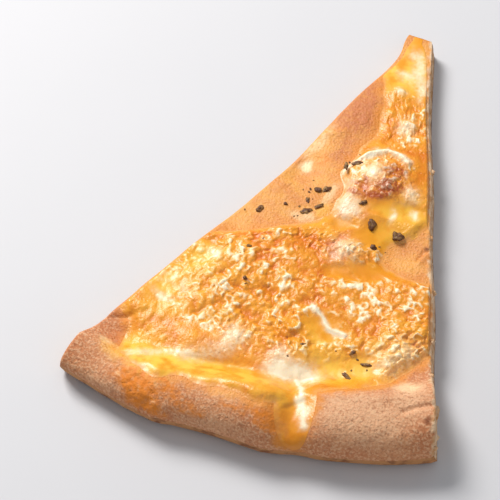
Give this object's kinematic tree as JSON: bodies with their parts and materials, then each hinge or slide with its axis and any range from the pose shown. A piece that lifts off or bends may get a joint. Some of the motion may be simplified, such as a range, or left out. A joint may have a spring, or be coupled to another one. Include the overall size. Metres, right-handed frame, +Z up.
{
  "type": "garlic pizza bread slice",
  "caption": "Wedge of leavened garlic pizza bread with a raised rounded rim, under a layer of melted cheese and garlic butter flecked with herbs.",
  "frame": {"origin": "middle of the underside's bounding box, on the surface that the slice rests on", "axes": "+Z up; +Y towards the pointed tip; -Y towards the rounded rim"},
  "size_m": [0.105, 0.1454, 0.0161],
  "materials": {
    "baked_crust": "matt baked crust, pale brown and floury on the rim, with dark herb flakes",
    "melted_cheese": "melted, browned and buttery, glossy in places, with dark herb flakes"
  },
  "bodies": {
    "root": {"bread": "baked_crust", "cheese": "melted_cheese"}
  },
  "joints": []
}
